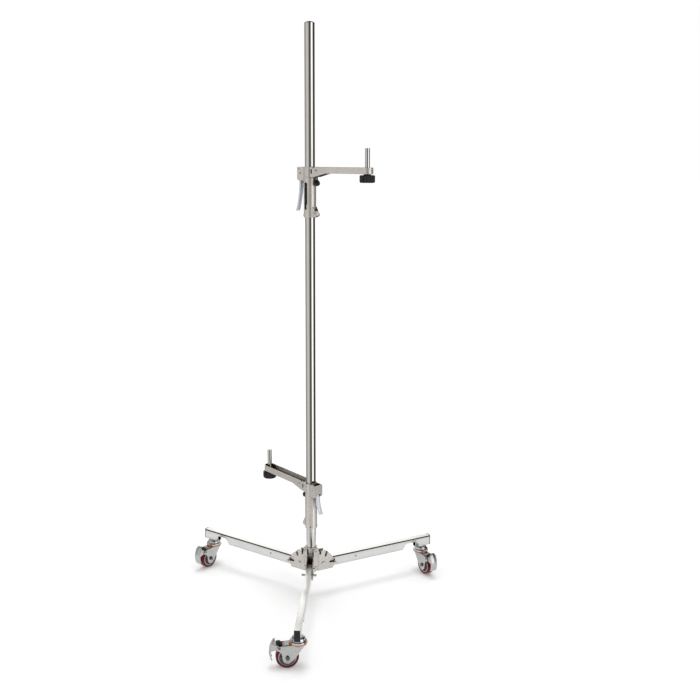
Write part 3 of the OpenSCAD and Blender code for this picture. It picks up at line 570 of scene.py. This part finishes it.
def pedal_pieces(leg):
    at = caster_frame(leg)
    steps = 24
    start, stop = 56, -8
    head_r, foot_r = 70, 50

    def line(offset):
        """The plate's inner line round the wheel, from its head down to its foot."""
        points = []
        for k in range(steps + 1):
            a = math.radians(start + (stop - start) * k / steps)
            r = head_r + (foot_r - head_r) * k / steps + offset
            points.append((TRAIL + r * math.cos(a), WHEEL_R + r * math.sin(a)))
        return points

    def plate(bm):
        """The pressed plate: a dished section, narrowed at its head and slightly at its foot."""
        inner = line(0)
        head_narrowing, foot_narrowing = 0.45, 0.1
        stations = []
        for k, (x, z) in enumerate(inner):
            nxt = inner[min(k + 1, steps)]
            prv = inner[max(k - 1, 0)]
            tangent = Vector((nxt[0] - prv[0], 0, nxt[1] - prv[1])).normalized()
            away = Vector((-tangent.z, 0, tangent.x))
            if away.x < 0:
                away = -away
            squeeze = 1 - head_narrowing * max(0, 1 - k / 4) ** 2 - foot_narrowing * (k / steps) ** 2
            m = Matrix((Vector((0, squeeze, 0)), away, tangent)).transposed().to_4x4()
            stations.append(Matrix.Translation((x, 0, z)) @ m)
        half, sheet, lip = PEDAL_W / 2, 2.0, 2.6
        section = [(-half, -lip), (-half + sheet, -lip), (-half + sheet, 0), (-5.5, 0), (-3.5, 0.7),
                   (3.5, 0.7), (5.5, 0), (half - sheet, 0), (half - sheet, -lip), (half, -lip),
                   (half, sheet - 0.8), (half - 0.8, sheet), (6, sheet), (4, sheet + 0.7),
                   (-4, sheet + 0.7), (-6, sheet), (-half + 0.8, sheet), (-half, sheet - 0.8)]
        sweep(bm, section, stations)

    def arms(bm):
        """The two ears that carry the plate on its pin."""
        inner = line(0.6)
        top, low = inner[4], inner[12]
        arm_in, arm_out = 11.5, 14
        outline = (arc((PEDAL_X, PEDAL_Z), 4.7, 100, 270, 10)
                   + [(low[0], low[1] - 2), low, top, (PEDAL_X + 4, PEDAL_Z + 8)])
        bore = circle((PEDAL_X, PEDAL_Z), PEDAL_PIN_BORE_R, 20)
        for side in (-1, 1):
            prism(bm, outline, side * arm_in, side * arm_out, UPRIGHT, (bore,))

    def pad(bm):
        """The foot pad, with ridges across its top."""
        x0, x1, z0, z1 = 57.3, 71.0, 75.0, 87.0
        half_w, ridge_count = 11, 4
        pitch = (x1 - x0 - 2) / ridge_count
        top = []
        for k in range(ridge_count):
            x = x0 + 1 + k * pitch
            top += [(x + 0.4, z1 - 1.3), (x + 0.9, z1), (x + pitch - 0.9, z1), (x + pitch - 0.4, z1 - 1.3)]
        outline = [(x0, z0), (x0, z1 - 2), *top, (x1, z1 - 2), (x1, z0)]
        prism(bm, outline, -half_w, half_w, UPRIGHT)

    body = f"pedal_{leg}"
    add_piece(f"pedal_plate_{leg}", plate, at, body, "zinc_steel",
              (f"brake_pedal_{leg}",), bevel=0.35)
    add_piece(f"pedal_arms_{leg}", arms, at, body, "zinc_steel", bevel=0.4)
    add_piece(f"pedal_pad_{leg}", pad, at, body, "black_plastic",
              (f"brake_pad_{leg}",), bevel=0.5)


def fork_pieces(leg):
    at = caster_frame(leg)

    def cheeks(bm):
        """The cheeks, from the crown round the axle to the pedal's pin."""
        foot_z, foot_r = WHEEL_R - 5, 15.0
        front = [(-17, FORK_TOP - 1), (-17, 72.5), (-12, 67), (-2, 54), (10, 37), (18, 27.5)]
        foot = arc((TRAIL, foot_z), foot_r, 215, 350, 14)
        back = [(52.2, 36), (53, 46), (55.5, 54), (61, 60.5), (69, 64), *arc((66, 68), 4.4, -35, 40, 4),
                (69, 74.5), *arc((PEDAL_X, PEDAL_Z), 6.6, 30, 80, 4), (24, FORK_TOP - 0.5)]
        holes = (circle((TRAIL, WHEEL_R), AXLE_BORE_R, 24),
                 circle((PEDAL_X, PEDAL_Z), PEDAL_PIN_BORE_R, 20))
        for side in (-1, 1):
            prism(bm, front + foot + back, side * FORK_IN, side * (FORK_IN + FORK_SHEET), UPRIGHT, holes)

    def crown(bm):
        low, bore_r = FORK_TOP - 3, 8.05
        lathe(bm, [(bore_r, low), (25.6, low), *arc((25.6, low + 1.4), 1.4, -90, 0, 4),
                   (27, FORK_TOP - 1.2), *arc((25.8, FORK_TOP - 1.2), 1.2, 0, 90, 4), (22, FORK_TOP),
                   (21, FORK_TOP - 0.5), (bore_r, FORK_TOP - 0.5)], closed=True)

    def leaf(bm):
        """The bowed leaf between the cheeks, over the wheel."""
        half_w, sheet, steps = 13.5, 1.2, 12
        start_x, length, bow = 22, 30, 2.2
        line = [(start_x + length * k / steps, FORK_TOP - bow + bow * math.sin(math.pi * k / steps))
                for k in range(steps + 1)]
        outline = line + [(x, z - sheet) for x, z in reversed(line)]
        prism(bm, outline, -half_w, half_w, UPRIGHT)

    body = f"swivel_{leg}"
    add_piece(f"fork_cheeks_{leg}", cheeks, at, body, "zinc_steel",
              (f"fork_{leg}",), bevel=0.7)
    add_piece(f"fork_crown_{leg}", crown, at, body, "zinc_steel", bevel=0.3)
    add_piece(f"fork_leaf_{leg}", leaf, at, body, "zinc_steel", bevel=0.3)


# Slide arms

def knob_pieces(arm):
    at = arm_frame(arm)
    clamp = at @ Matrix.Translation((ARM_REACH, 0, -ARM_H - CLEAR))
    neck_h = 3.0
    top = -neck_h
    low = top - KNOB_H

    def fluted(bm):
        """The grip: a toothed outline whose teeth fade out at both rims."""
        flute_count, flute_depth = 20, 2.0
        steps_round = flute_count * 12
        levels = [(0.80, top, 0), (0.90, top - 0.2, 0), (0.965, top - 1.2, 0.3), (0.99, top - 2.6, 0.9),
                  (1.0, top - 4.5, 1), (1.0, low + 5, 1), (0.985, low + 2.6, 0.9), (0.95, low + 1, 0.3),
                  (0.90, low + 0.2, 0), (0.80, low, 0), (0.5, low + 0.6, 0), (0.3, low + 0.8, 0)]
        rings = []
        for share, z, depth in levels:
            ring = []
            for k in range(steps_round):
                a = 2 * math.pi * k / steps_round
                tooth = 0.5 + 0.5 * math.cos(flute_count * a)
                r = KNOB_D / 2 * share - flute_depth * depth * (1 - tooth) ** 2
                ring.append(bm.verts.new((r * math.cos(a), r * math.sin(a), z)))
            rings.append(ring)
        join_rings(bm, rings)

    def neck(bm):
        bore_r = 5.05
        lathe(bm, [(bore_r, top - 0.2), (13, top - 0.2), *arc((11, top + 1.6), 1.6, 0, 60, 3),
                   (11.2, -0.2), (10.8, 0), (bore_r, 0)], closed=True, steps=64)

    body = f"{arm}_clamp_knob_body"
    add_piece(f"{arm}_knob_grip", fluted, clamp, body, "knob_plastic",
              (f"{arm}_clamp_knob",), smooth=50)
    add_piece(f"{arm}_knob_neck", neck, clamp, body, "black_plastic")

    def ball(bm):
        """The ball with its moulding seam, its collar and its stem."""
        r, collar_r, stem_r = BALL_D / 2, 4.6, 2.75
        stem_top = BALL_DROP - 8
        profile = [(0, -r), *arc((0, 0), r, -88, -3, 24), (r - 0.25, 0), *arc((0, 0), r, 3, 66, 18),
                   (collar_r, r - 0.4), (collar_r, r + 1.6), (3.8, r + 2.2), (stem_r, r + 2.2),
                   (stem_r, stem_top), (0, stem_top)]
        lathe(bm, profile, steps=64)

    add_piece(f"{arm}_ball_grip", ball, at @ Matrix.Translation((BALL_U, 0, -BALL_DROP)),
              f"{arm}_ball_knob_body", "black_plastic", (f"{arm}_ball_knob",))


def lever_pieces(arm):
    at = arm_frame(arm)
    steps = 30

    def edge(share):
        """A point on the lever's outer line, by the share of its length below the head."""
        return Vector((-BOX_BACK - (LEVER_OUT - BOX_BACK) * share * share, 0,
                       -BOX_H - (LEVER_TIP[arm] - BOX_H) * share))

    def channel(bm):
        points = [Vector((-36, 0, -28)), Vector((-38.7, 0, -34)), Vector((-41.3, 0, -40))]
        points += [edge(k / steps) for k in range(steps + 1)]
        stations = []
        for k, p in enumerate(points):
            nxt = points[min(k + 1, len(points) - 1)]
            prv = points[max(k - 1, 0)]
            tangent = (nxt - prv).normalized()
            inward = Vector((-tangent.z, 0, tangent.x))
            m = Matrix((Vector((0, 1, 0)), inward, tangent)).transposed().to_4x4()
            stations.append(Matrix.Translation(p) @ m)
        half, wall, corner = LEVER_W / 2, 1.8, 3
        inset = half - corner
        outer = ([(half, LEVER_DEPTH)] + arc((inset, corner), corner, 0, -90, 6)
                 + arc((-inset, corner), corner, -90, -180, 6) + [(-half, LEVER_DEPTH)])
        inner = ([(wall - half, LEVER_DEPTH)] + arc((-inset, corner), corner - wall, 180, 270, 4)
                 + arc((inset, corner), corner - wall, 270, 360, 4) + [(half - wall, LEVER_DEPTH)])
        sweep(bm, outer + inner, stations)

    def boss(bm):
        """The two ears of the lever on its pin."""
        pin = (LEVER_PIN_X, LEVER_PIN_Z)
        ear_r, ear_in, ear_out = 6, 5.7, 7.5
        bore = circle(pin, LEVER_PIN_BORE_R, 24)
        outline = arc(pin, ear_r, -20, 180, 14) + [(-36, -28), (-37, -36), (-30, -37)]
        for side in (-1, 1):
            prism(bm, outline, side * ear_in, side * ear_out, UPRIGHT, (bore,))

    body = f"{arm}_release_lever_body"
    add_piece(f"{arm}_lever_channel", channel, at, body, "lever_chrome",
              (f"{arm}_release_lever",), bevel=0.3)
    add_piece(f"{arm}_lever_boss", boss, at, body, "lever_chrome", bevel=0.3)


# Fasteners and small trim

def socket_head(bm, matrix, radius, height):
    """A button head with a hexagon socket, standing on its frame's X-Y plane."""
    steps = 36
    socket_r = radius * 0.42
    rim = radius * 0.5
    side_h = height * 0.15
    dome = [(radius * math.cos(math.radians(t)) * 0.99 + rim * 0.01,
             side_h + (height - side_h) * math.sin(math.radians(t))) for t in (15, 30, 45, 58)]
    lathe(bm, [(radius, 0), (radius, side_h), *dome, (rim, height)], matrix, steps=steps)
    rings = []
    for r, z in ((rim, height), (socket_r, height - 0.1), (socket_r * 0.98, height * 0.35)):
        ring = []
        for k in range(steps):
            a = 2 * math.pi * k / steps
            flat = math.cos(math.pi / 6) / math.cos((a % (math.pi / 3)) - math.pi / 6) if r < rim else 1
            ring.append(bm.verts.new(matrix @ Vector((r * flat * math.cos(a), r * flat * math.sin(a), z))))
        rings.append(ring)
    join_rings(bm, rings, close_start=False)


def outward(x, y, z, normal):
    """A frame at a point, with Z along the normal."""
    return Matrix.Translation((x, y, z)) @ Vector(normal).to_track_quat("Z", "Y").to_matrix().to_4x4()


def hub_fasteners():
    """Button heads over the hub's bolts, a little proud of the plain domes."""
    pivot_y, pivot_r, pivot_h = 12.8, 7.1, 4.2
    flange_x, flange_y, flange_r, flange_h = 23.55, -4, 4.6, 3.1
    flange_heights = (115, 176)
    turn = Matrix.Rotation(math.radians(60), 4, "Z")
    for leg in LEGS:
        at = leg_frame(leg)

        def heads(bm):
            for side in (-1, 1):
                socket_head(bm, outward(PIVOT_U, side * pivot_y, PIVOT_Z, (0, side, 0)), pivot_r, pivot_h)
            for z in flange_heights:
                socket_head(bm, turn @ outward(flange_x, flange_y, z, (1, 0, 0)), flange_r, flange_h)

        add_piece(f"hub_button_heads_{leg}", heads, at, "stand", "bright_chrome")


def arm_fasteners(arm):
    """Button heads on the arm's bolts, the lever's pin and the roller's pin."""
    at = arm_frame(arm)

    def heads(bm):
        for side in (-1, 1):
            for x, y, z, radius, height in ((ARM_BOLT_X, 19.5, -13, 4.6, 2.7),
                                            (LEVER_PIN_X, BOX_W / 2, LEVER_PIN_Z, 4.1, 1.7),
                                            (26.8, 10.1, -158, 4.1, 1.7)):
                socket_head(bm, outward(x, side * y, z, (0, side, 0)), radius, height)

    add_piece(f"{arm}_button_heads", heads, at, f"{arm}_carriage", "bright_chrome")


def bead(bm, points, radius, seed):
    """A weld bead along a line of points, a little uneven."""
    steps, around = 14 * (len(points) - 1), 8
    rings = []
    for k in range(steps + 1):
        t = k / steps * (len(points) - 1)
        i = min(int(t), len(points) - 2)
        a, b = Vector(points[i]), Vector(points[i + 1])
        p = a.lerp(b, t - i)
        turn = (b - a).to_track_quat("Z", "Y").to_matrix()
        r = radius * (1 + 0.18 * math.sin(2.3 * k + seed) + 0.1 * math.sin(5.1 * k))
        r *= 0.4 if k in (0, steps) else 1
        rings.append([bm.verts.new(p + turn @ Vector((r * math.cos(q), r * math.sin(q), 0)))
                      for q in (2 * math.pi * m / around for m in range(around))])
    join_rings(bm, rings)


def hub_welds():
    """Beads where each bracket's cheeks meet the hub's tube."""
    root_x, root_y, root_low, root_high, bead_r = 21.2, 12.6, 96.0, 166.0, 1.3
    for leg in LEGS:
        at = leg_frame(leg)

        def welds(bm):
            for k, side in enumerate((-1, 1)):
                foot, head = (root_x, side * root_y, root_low), (root_x, side * root_y, root_high)
                bead(bm, [foot, head], bead_r, k)

        add_piece(f"hub_welds_{leg}", welds, at, "stand", "satin_steel")


def sleeve_details(arm):
    """Weld beads where plates meet the sleeve, the small screws in its wall, and thin dark sheets of painted shade
    beside them.
    """
    at = arm_frame(arm)

    def on_wall(azimuth, z, rise):
        """A frame on the sleeve's wall, with Z outward, raised off it."""
        turn = Matrix.Rotation(math.radians(azimuth), 4, "Z")
        return turn @ outward(SLEEVE_R + rise, 0, z, (1, 0, 0))

    def welds(bm):
        bead_r = 1.0
        box_x, box_y = -math.sqrt(SLEEVE_R ** 2 - (BOX_W / 2) ** 2), BOX_W / 2
        arm_x, arm_y = 9.0, 20.3
        for k, side in enumerate((-1, 1)):
            bead(bm, [(box_x, side * box_y, -1), (box_x, side * box_y, -BOX_H + 2)], bead_r, k)
            bead(bm, [(arm_x, side * arm_y, -2), (arm_x, side * arm_y, -32)], bead_r, 2 + k)
        ring = [(SLEEVE_R * math.cos(math.radians(a)), SLEEVE_R * math.sin(math.radians(a)), -34.4)
                for a in range(-36, 37, 12)]
        bead(bm, ring, bead_r, 5)

    def screws(bm):
        radius, height, sunk = 3.0, 1.5, 0.3
        for azimuth, z in ((-50, -9), (-50, -25), (50, -9), (50, -25), (135, -164), (-135, -164)):
            socket_head(bm, on_wall(azimuth, z, -sunk), radius, height)

    def gap_shade_sheets(bm):
        """Dark oblongs beside the screws and dark strips beside the arm: thin sheets of painted shade where
        hollows and gaps would be shaded.
        """
        sunk, thick = 0.02, 0.25
        oblong = arc((0, 6), 1.9, 0, 180, 8) + arc((0, -6), 1.9, 180, 360, 8)
        gap = [(-0.9, -20), (0.5, -20), (0.8, 4), (2.6, 6), (2.6, 14), (-2.2, 14), (-2.2, 6), (-0.7, 4)]
        for side in (-1, 1):
            prism(bm, oblong, 0, thick, on_wall(side * 66, -15, -sunk))
            prism(bm, gap, 0, thick, on_wall(side * 80, -18, -sunk))

    body = f"{arm}_carriage"
    add_piece(f"{arm}_sleeve_welds", welds, at, body, "satin_steel")
    add_piece(f"{arm}_sleeve_screws", screws, at, body, "dark_bolt")
    # Painted shade of hollows and gaps, laid on the sleeve's wall
    add_piece(f"{arm}_sleeve_gap_shade_sheets", gap_shade_sheets, at, body, "painted_gap_shade")


# Camera, floor and light

def add_camera():
    """The photograph's viewing angle: from above the column's middle, looking 9.9 degrees down."""
    focal_px, size = 900.0, 700.0
    down, roll = 0.1723, 0.0094
    data = bpy.data.cameras.new("camera")
    data.sensor_width = 36.0
    data.lens = focal_px / size * data.sensor_width
    data.shift_x = 0.031
    data.shift_y = -0.055
    camera = bpy.data.objects.new("camera", data)
    camera.location = (0.0924, -3.1215, 1.6127)
    camera.rotation_euler = (math.pi / 2 - down, 0, roll)
    bpy.context.scene.collection.objects.link(camera)
    bpy.context.scene.camera = camera


def floor_material():
    """White paper. What is seen or mirrored of it is lifted to the room's white, with its shadows."""
    n = Nodes("floor_paper")
    n.shader.inputs["Roughness"].default_value = 0.9
    n.shader.inputs["Specular IOR Level"].default_value = 0.0
    grain = n.noise(60.0)
    shades = [(NOISE_LOW, (0.93, 0.93, 0.93)), (NOISE_HIGH, (0.95, 0.95, 0.95))]
    n.link(n.ramp(grain, shades), n.shader.inputs["Base Color"])
    lift = 0.13
    paths = n.add("ShaderNodeLightPath")
    strength = n.add("ShaderNodeMath", operation="MULTIPLY")
    strength.inputs[1].default_value = lift
    seen = paths.outputs["Is Camera Ray"]
    for ray in ("Is Glossy Ray", "Is Transmission Ray"):
        either = n.add("ShaderNodeMath", operation="MAXIMUM")
        n.link(seen, either.inputs[0])
        n.link(paths.outputs[ray], either.inputs[1])
        seen = either.outputs["Value"]
    n.link(seen, strength.inputs[0])
    n.shader.inputs["Emission Color"].default_value = (1, 1, 1, 1)
    n.link(strength.outputs["Value"], n.shader.inputs["Emission Strength"])
    return n.material


def floor_disc(name, material, centre, reach_x, reach_y):
    """An oval of floor, in metres."""
    bm = bmesh.new()
    lathe(bm, [(0, 0), (1, 0)], Matrix.Translation(centre) @ Matrix.Diagonal((reach_x, reach_y, 1, 1)))
    mesh = bpy.data.meshes.new(name)
    bm.to_mesh(mesh)
    bm.free()
    mesh.materials.append(material)
    floor = bpy.data.objects.new(name, mesh)
    bpy.context.scene.collection.objects.link(floor)
    return floor


def glossy_only(obj):
    """Leaves an object to be seen in mirrors alone."""
    for ray in ("visible_camera", "visible_diffuse", "visible_transmission", "visible_shadow"):
        setattr(obj, ray, False)


def add_floor():
    """The paper, and the parts of it that the legs and casters mirror."""
    material = floor_material()
    paper_r = 60.0
    paper = floor_disc("floor_paper", material, (0, 0, 0), paper_r, paper_r)
    paper.visible_glossy = False
    front_y = joint_place("caster_swivel_front").y - 0.35
    for name, centre, reach_x, reach_y in (("floor_mirrored_hub", (0, 0.02, 0), 0.85, 0.42),
                                           ("floor_mirrored_front", (0, front_y, 0), 0.3, 0.3)):
        glossy_only(floor_disc(name, material, centre, reach_x, reach_y))


# What the metal mirrors round the studio: a direction in degrees, 0 towards the camera's side and
# rising to the right, and its brightness
SURROUND = [(-180, 1.15), (-166, 1.15), (-156, 0.20), (-126, 0.30), (-100, 0.42), (-84, 0.50),
            (-60, 0.72), (-40, 0.62), (-28, 0.50), (-16, 0.30), (-8, 0.10), (10, 0.05), (22, 0.12),
            (32, 0.75), (42, 1.35), (64, 1.45), (72, 0.80), (80, 0.08), (100, 0.04), (136, 0.05),
            (158, 0.10), (168, 1.00), (180, 1.15)]


def surround_material(lit_to, dark_from):
    """The surround's glow, by direction, up to the height lit_to. It is dark above dark_from."""
    warm, dark_level = (1.0, 0.985, 0.96), 0.03
    brightest = max(level for _, level in SURROUND)
    n = Nodes("studio_surround")
    n.tree.nodes.remove(n.shader)
    coord = n.add("ShaderNodeTexCoord")
    parts = n.add("ShaderNodeSeparateXYZ")
    n.link(coord.outputs["Object"], parts.inputs["Vector"])
    flip = n.add("ShaderNodeMath", operation="MULTIPLY")
    flip.inputs[1].default_value = -1.0
    n.link(parts.outputs["Y"], flip.inputs[0])
    angle = n.add("ShaderNodeMath", operation="ARCTAN2")
    n.link(parts.outputs["X"], angle.inputs[0])
    n.link(flip.outputs["Value"], angle.inputs[1])
    share = n.add("ShaderNodeMapRange")
    share.inputs["From Min"].default_value = -math.pi
    share.inputs["From Max"].default_value = math.pi
    n.link(angle.outputs["Value"], share.inputs["Value"])
    shade = n.add("ShaderNodeMapRange")
    shade.inputs["From Min"].default_value = lit_to
    shade.inputs["From Max"].default_value = dark_from
    shade.inputs["To Min"].default_value = brightest
    shade.inputs["To Max"].default_value = dark_level
    n.link(parts.outputs["Z"], shade.inputs["Value"])
    stops = [((degrees + 180) / 360, tint(warm, level / brightest)) for degrees, level in SURROUND]
    glow = n.add("ShaderNodeEmission")
    n.link(n.ramp(share.outputs["Result"], stops), glow.inputs["Color"])
    n.link(shade.outputs["Result"], glow.inputs["Strength"])
    n.link(glow.outputs["Emission"], n.tree.nodes["Material Output"].inputs["Surface"])
    return n.material


def add_surround():
    """A studio wall and ceiling that only reflections see: pale panels, dark gaps and a dark top."""
    radius, low, high = 3.0, -3.0, 4.5
    lit_to, dark_from = 2.55, 2.7
    bm = bmesh.new()
    lathe(bm, [(radius, low), (radius, high), (0, high)])
    mesh = bpy.data.meshes.new("studio_surround")
    bm.to_mesh(mesh)
    bm.free()
    mesh.materials.append(surround_material(lit_to, dark_from))
    wall = bpy.data.objects.new("studio_surround", mesh)
    bpy.context.scene.collection.objects.link(wall)
    glossy_only(wall)


def add_sun():
    """A soft light from overhead, which metal doesn't mirror."""
    direction, softness, strength = (0.0, -0.12, -1), 26, 1.0
    data = bpy.data.lights.new("overhead", "SUN")
    data.angle = math.radians(softness)
    data.energy = strength
    sun = bpy.data.objects.new("overhead", data)
    sun.rotation_euler = Vector(direction).to_track_quat("-Z", "Y").to_euler()
    sun.visible_glossy = False
    bpy.context.scene.collection.objects.link(sun)


def add_world():
    """A white room: full white where it is seen or mirrored, a little softer as light."""
    as_light, as_seen = 0.68, 1.0
    world = bpy.data.worlds.new("studio")
    bpy.context.scene.world = world
    world.use_nodes = True
    tree = world.node_tree
    paths = tree.nodes.new("ShaderNodeLightPath")
    seen = tree.nodes.new("ShaderNodeMath")
    seen.operation = "MAXIMUM"
    mirrored = tree.nodes.new("ShaderNodeMath")
    mirrored.operation = "MAXIMUM"
    tree.links.new(paths.outputs["Is Camera Ray"], seen.inputs[0])
    tree.links.new(paths.outputs["Is Glossy Ray"], seen.inputs[1])
    tree.links.new(seen.outputs["Value"], mirrored.inputs[0])
    tree.links.new(paths.outputs["Is Transmission Ray"], mirrored.inputs[1])
    strength = tree.nodes.new("ShaderNodeMapRange")
    strength.inputs["To Min"].default_value = as_light
    strength.inputs["To Max"].default_value = as_seen
    tree.links.new(mirrored.outputs["Value"], strength.inputs["Value"])
    background = tree.nodes["Background"]
    background.inputs["Color"].default_value = (1, 1, 1, 1)
    tree.links.new(strength.outputs["Result"], background.inputs["Strength"])


dress_nodes()
for leg_name in LEGS:
    wheel_pieces(leg_name)
    caster_head_pieces(leg_name)
    pedal_pieces(leg_name)
    fork_pieces(leg_name)
hub_fasteners()
hub_welds()
for arm_name in ARMS:
    sleeve_details(arm_name)
    knob_pieces(arm_name)
    lever_pieces(arm_name)
    arm_fasteners(arm_name)

add_camera()
add_floor()
add_surround()
add_world()
add_sun()
bpy.context.scene.view_settings.view_transform = "Standard"
